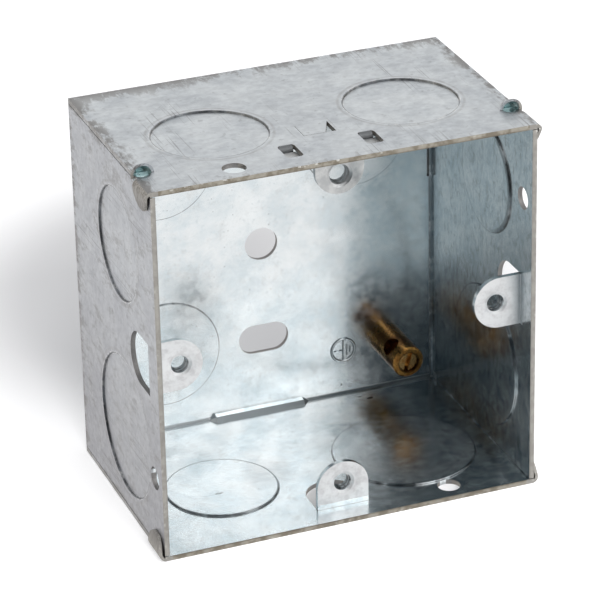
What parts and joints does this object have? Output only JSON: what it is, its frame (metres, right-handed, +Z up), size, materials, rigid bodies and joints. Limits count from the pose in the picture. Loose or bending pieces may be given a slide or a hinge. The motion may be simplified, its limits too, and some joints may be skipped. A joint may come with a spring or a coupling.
{
  "type": "electrical back box",
  "caption": "Square flush back box folded from galvanised sheet steel, with screw lugs, a sliding lug, knockouts and an earth terminal.",
  "frame": {"origin": "centre of the overall footprint, at the outer face of the bottom wall", "axes": "+X to the right as seen from the open front, +Y from the open front to the back, +Z up"},
  "size_m": [0.0738, 0.046, 0.0737],
  "materials": {
    "galvanised_steel": "satin",
    "lug_steel": "satin",
    "pillar_brass": "satin",
    "screw_brass": "satin"
  },
  "bodies": {
    "box": {"box_body": "galvanised_steel", "earth_pillar": "pillar_brass"},
    "lug": {"adjustable_lug": "lug_steel"},
    "screw": {"earth_screw": "screw_brass"}
  },
  "joints": [
    {"name": "lug_slide", "type": "slide", "parent": "box", "child": "lug", "axis": [1, 0, 0], "range_m": [-0.0023, 0.0008]},
    {"name": "screw_travel", "type": "slide", "parent": "box", "child": "screw", "axis": [0, 1, 0], "range_m": [-0.0012, 0.0026]}
  ]
}
